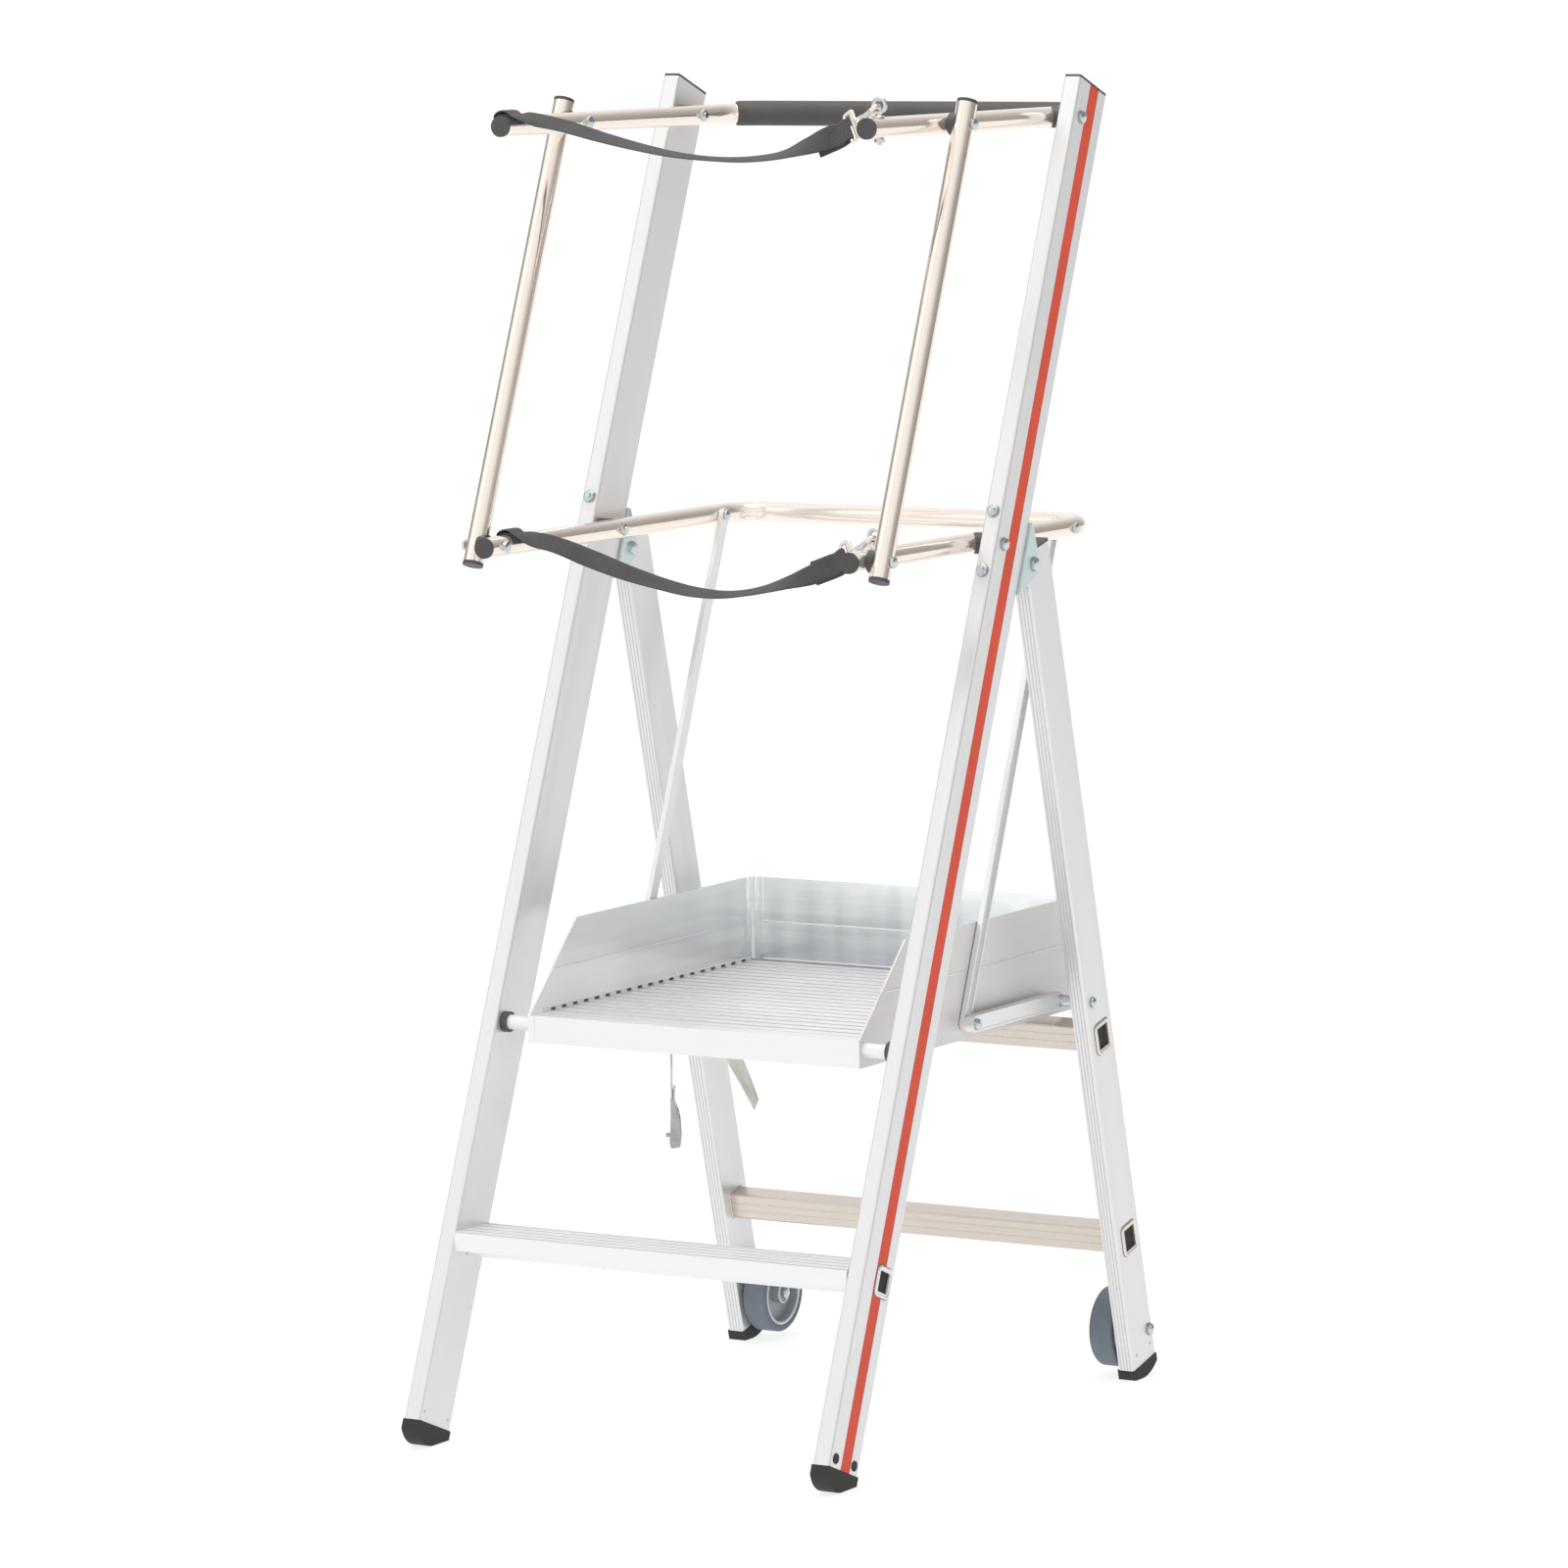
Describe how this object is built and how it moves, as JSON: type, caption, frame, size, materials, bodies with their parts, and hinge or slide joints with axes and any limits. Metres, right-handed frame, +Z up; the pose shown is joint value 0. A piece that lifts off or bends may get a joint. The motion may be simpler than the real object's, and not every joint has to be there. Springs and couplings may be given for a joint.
{
  "type": "podium step",
  "caption": "Folding podium step: work platform with toe boards on an A-frame, with tread, U-bent guard rails, strap closures and tilt wheels.",
  "frame": {"origin": "on the floor, midway across and midway between the foremost and rearmost points", "axes": "+X to the right of a person climbing on, +Y rearward, +Z up"},
  "size_m": [0.6018, 0.8452, 1.6156],
  "materials": {
    "aluminium": "satin mill finish",
    "stripe": "semi-gloss",
    "black_plastic": "moulded, matte",
    "black_rubber": "matte",
    "zinc": "bright zinc plate",
    "tube_steel": "bright drawn tube",
    "tyre": "matte",
    "hub": "moulded, matte",
    "black_webbing": "woven",
    "grey_webbing": "woven"
  },
  "bodies": {
    "front_frame": {"left_front_stile": "aluminium", "right_front_stile": "aluminium", "stile_stripes": "stripe", "front_top_caps": "black_plastic", "left_front_foot": "black_rubber", "right_front_foot": "black_rubber", "tread": "aluminium", "tread_end_plugs": "black_plastic", "axle_bushes": "black_plastic", "left_hinge_bracket": "zinc", "right_hinge_bracket": "zinc", "hinge_bolts": "zinc", "rail_pivot_bolts": "zinc"},
    "platform": {"deck": "aluminium", "front_channel": "aluminium", "left_toe_board": "aluminium", "right_toe_board": "aluminium", "rear_toe_board": "aluminium", "platform_fittings": "zinc", "axle_tube": "aluminium", "platform_pivot_pins": "zinc", "carrying_strap": "grey_webbing", "cam_buckle": "zinc"},
    "left_strut": {"left_strut": "tube_steel"},
    "right_strut": {"right_strut": "tube_steel"},
    "left_link": {"left_link": "zinc"},
    "right_link": {"right_link": "zinc"},
    "rear_frame": {"left_rear_stile": "aluminium", "right_rear_stile": "aluminium", "rear_top_caps": "black_plastic", "left_rear_foot": "black_rubber", "right_rear_foot": "black_rubber", "upper_rear_bar": "aluminium", "lower_rear_bar": "aluminium", "rear_bar_plugs": "black_plastic", "link_pivot_bolts": "zinc", "wheel_axles": "zinc"},
    "left_wheel": {"left_wheel_tyre": "tyre", "left_wheel_hub": "hub"},
    "right_wheel": {"right_wheel_tyre": "tyre", "right_wheel_hub": "hub"},
    "mid_rail": {"mid_rail": "tube_steel", "mid_rail_caps": "black_plastic", "mid_rail_bolts": "zinc", "mid_strap": "black_webbing", "mid_strap_hook": "zinc"},
    "mid_hook_gate": {"mid_hook_gate": "zinc"},
    "top_rail": {"top_rail": "tube_steel", "rail_sleeve": "black_rubber", "top_rail_caps": "black_plastic", "top_rail_bolts": "zinc", "top_strap": "black_webbing", "top_strap_hook": "zinc"},
    "top_hook_gate": {"top_hook_gate": "zinc"},
    "left_post": {"left_post": "tube_steel", "left_post_caps": "black_plastic"},
    "right_post": {"right_post": "tube_steel", "right_post_caps": "black_plastic"},
    "cam_lever": {"cam_lever": "zinc"}
  },
  "joints": [
    {"name": "platform_fold", "type": "hinge", "parent": "front_frame", "child": "platform", "pos_m": [0, -0.21627, 0.488], "axis": [1, 0, 0], "range_deg": [0, 54]},
    {"name": "mid_rail_fold", "type": "hinge", "parent": "front_frame", "child": "mid_rail", "pos_m": [0, 0.01608, 1.066], "axis": [1, 0, 0], "range_deg": [0, 54]},
    {"name": "top_rail_fold", "type": "hinge", "parent": "front_frame", "child": "top_rail", "pos_m": [0, 0.21628, 1.564], "axis": [1, 0, 0], "range_deg": [0, 54]},
    {"name": "rear_fold", "type": "hinge", "parent": "front_frame", "child": "rear_frame", "pos_m": [0, 0.084, 1.03654], "axis": [-1, 0, 0], "range_deg": [0, 24.1]},
    {"name": "left_strut_pivot", "type": "hinge", "parent": "platform", "child": "left_strut", "pos_m": [0, 0.01673, 0.488], "axis": [1, 0, 0], "range_deg": [-54, 0]},
    {"name": "left_post_pivot", "type": "hinge", "parent": "mid_rail", "child": "left_post", "pos_m": [0, -0.24892, 1.066], "axis": [1, 0, 0], "range_deg": [-54, 0]},
    {"name": "left_link_pivot", "type": "hinge", "parent": "rear_frame", "child": "left_link", "pos_m": [0, 0.23054, 0.488], "axis": [1, 0, 0], "range_deg": [-45.9, 0]},
    {"name": "right_strut_pivot", "type": "hinge", "parent": "platform", "child": "right_strut", "pos_m": [0, 0.01673, 0.488], "axis": [1, 0, 0], "range_deg": [-54, 0]},
    {"name": "right_post_pivot", "type": "hinge", "parent": "mid_rail", "child": "right_post", "pos_m": [0, -0.24892, 1.066], "axis": [1, 0, 0], "range_deg": [-54, 0]},
    {"name": "right_link_pivot", "type": "hinge", "parent": "rear_frame", "child": "right_link", "pos_m": [0, 0.23054, 0.488], "axis": [1, 0, 0], "range_deg": [-45.9, 0]},
    {"name": "left_wheel_spin", "type": "hinge", "parent": "rear_frame", "child": "left_wheel", "pos_m": [0, 0.37261, 0.059], "axis": [1, 0, 0], "continuous": true},
    {"name": "right_wheel_spin", "type": "hinge", "parent": "rear_frame", "child": "right_wheel", "pos_m": [0, 0.37261, 0.059], "axis": [1, 0, 0], "continuous": true},
    {"name": "mid_gate_hinge", "type": "hinge", "parent": "mid_rail", "child": "mid_hook_gate", "pos_m": [0.22957, -0.22092, 1.07788], "axis": [-0.5592, 0, 0.829], "range_deg": [0, 18], "stiffness_Nm_per_rad": 0.004},
    {"name": "top_gate_hinge", "type": "hinge", "parent": "top_rail", "child": "top_hook_gate", "pos_m": [0.22957, -0.20172, 1.57588], "axis": [-0.5592, 0, 0.829], "range_deg": [0, 18], "stiffness_Nm_per_rad": 0.004},
    {"name": "cam_lever_hinge", "type": "hinge", "parent": "platform", "child": "cam_lever", "pos_m": [-0.15324, -0.01525, 0.354], "axis": [0.5, -0.866, 0], "range_deg": [0, 70], "stiffness_Nm_per_rad": 0.02}
  ],
  "couplings": [
    {"joint": "mid_rail_fold", "follows": "platform_fold", "ratio": 1},
    {"joint": "top_rail_fold", "follows": "platform_fold", "ratio": 1},
    {"joint": "rear_fold", "follows": "platform_fold", "ratio": 0.44485},
    {"joint": "left_strut_pivot", "follows": "platform_fold", "ratio": -1},
    {"joint": "left_post_pivot", "follows": "platform_fold", "ratio": -1},
    {"joint": "left_link_pivot", "follows": "platform_fold", "ratio": -0.84758},
    {"joint": "right_strut_pivot", "follows": "platform_fold", "ratio": -1},
    {"joint": "right_post_pivot", "follows": "platform_fold", "ratio": -1},
    {"joint": "right_link_pivot", "follows": "platform_fold", "ratio": -0.84758}
  ]
}
